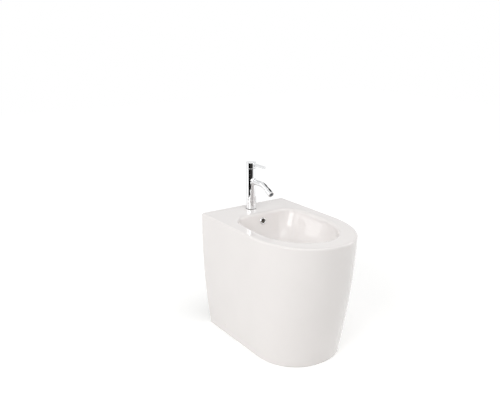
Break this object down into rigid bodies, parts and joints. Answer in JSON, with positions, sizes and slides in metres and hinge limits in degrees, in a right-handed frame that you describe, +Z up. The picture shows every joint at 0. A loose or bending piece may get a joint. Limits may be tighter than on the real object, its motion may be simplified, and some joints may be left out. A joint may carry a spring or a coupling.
{
  "type": "floor standing bidet",
  "caption": "Back-to-wall floor standing bidet: tapering ceramic pedestal with oval bowl, single lever swivel-nozzle tap, push plug waste and bottle trap.",
  "frame": {"origin": "on the floor under the middle of the rim's box, so the wall face is at +Y and half the depth away", "axes": "+Z up, -Y towards the user at the front, +Y into the wall, +X to the right as seen from the front"},
  "size_m": [0.35, 0.52, 0.587],
  "materials": {
    "glaze": "white fired gloss glaze on vitreous china",
    "chrome": "polished chrome plate on brass",
    "rubber": "black moulded EPDM",
    "steel": "bright zinc plated steel",
    "brass": "turned brass",
    "grey_plastic": "moulded grey acetal",
    "white_plastic": "moulded white polypropylene",
    "disc_ceramic": "lapped alumina"
  },
  "bodies": {
    "pedestal": {"ceramic_body": "glaze", "overflow_ring": "chrome", "tap_body": "chrome", "foot_gasket": "rubber", "fixing_stud": "steel", "horseshoe_gasket": "rubber", "horseshoe_washer": "steel", "stud_nut": "brass", "cartridge_base": "grey_plastic", "cartridge_seals": "rubber", "cartridge_housing": "grey_plastic", "fixed_disc": "disc_ceramic", "cartridge_nut": "brass", "dome_ring": "chrome", "spout_tube": "chrome", "nozzle_socket": "chrome", "waste_body": "chrome", "waste_top_gasket": "rubber", "waste_lower_gasket": "rubber", "waste_washer": "steel", "waste_nut": "brass", "plug_guide": "white_plastic", "trap_top_nut": "white_plastic", "trap_top_seal": "rubber", "trap_inlet_pipe": "white_plastic", "trap_bottle": "white_plastic", "bottle_nut": "white_plastic", "bottle_seal": "rubber", "trap_cup": "white_plastic", "cup_seal": "rubber", "trap_outlet_pipe": "white_plastic", "outlet_nut": "white_plastic", "outlet_seal": "rubber", "left_bracket": "steel", "right_bracket": "steel", "bracket_screws": "steel", "screw_caps": "glaze"},
    "turret": {"cartridge_turret": "grey_plastic", "tilt_pin": "steel"},
    "handle": {"cartridge_stem": "steel", "handle_hub": "chrome", "lever_pin": "chrome", "handle_grub_screw": "steel"},
    "disc": {"moving_disc": "disc_ceramic"},
    "liner": {"ball_liner": "white_plastic"},
    "nozzle": {"swivel_ball": "chrome", "nozzle_sleeve": "chrome", "aerator_seal": "rubber", "aerator_insert": "grey_plastic", "aerator_ring": "chrome"},
    "plug": {"plug_cap": "chrome", "plug_stem": "chrome", "plug_seal": "rubber"}
  },
  "joints": [
    {"name": "handle_turn", "type": "hinge", "parent": "pedestal", "child": "turret", "pos_m": [0, 0.208, 0.557], "axis": [0, 0, 1], "range_deg": [-45, 45]},
    {"name": "handle_lift", "type": "hinge", "parent": "turret", "child": "handle", "pos_m": [0, 0.208, 0.557], "axis": [-1, 0, 0], "range_deg": [0, 16]},
    {"name": "disc_slide", "type": "slide", "parent": "turret", "child": "disc", "axis": [0, -1, 0], "range_m": [0, 0.0052]},
    {"name": "nozzle_tilt", "type": "hinge", "parent": "pedestal", "child": "liner", "pos_m": [0, 0.11, 0.50769], "axis": [1, 0, 0], "range_deg": [-10, 10]},
    {"name": "nozzle_swing", "type": "hinge", "parent": "liner", "child": "nozzle", "pos_m": [0, 0.11, 0.50769], "axis": [0, -0.4695, 0.8829], "range_deg": [-10, 10]},
    {"name": "plug_slide", "type": "slide", "parent": "pedestal", "child": "plug", "axis": [0, 0, 1], "range_m": [0, 0.008]}
  ],
  "couplings": [
    {"joint": "disc_slide", "follows": "handle_lift", "m_per_rad": 0.0184}
  ]
}
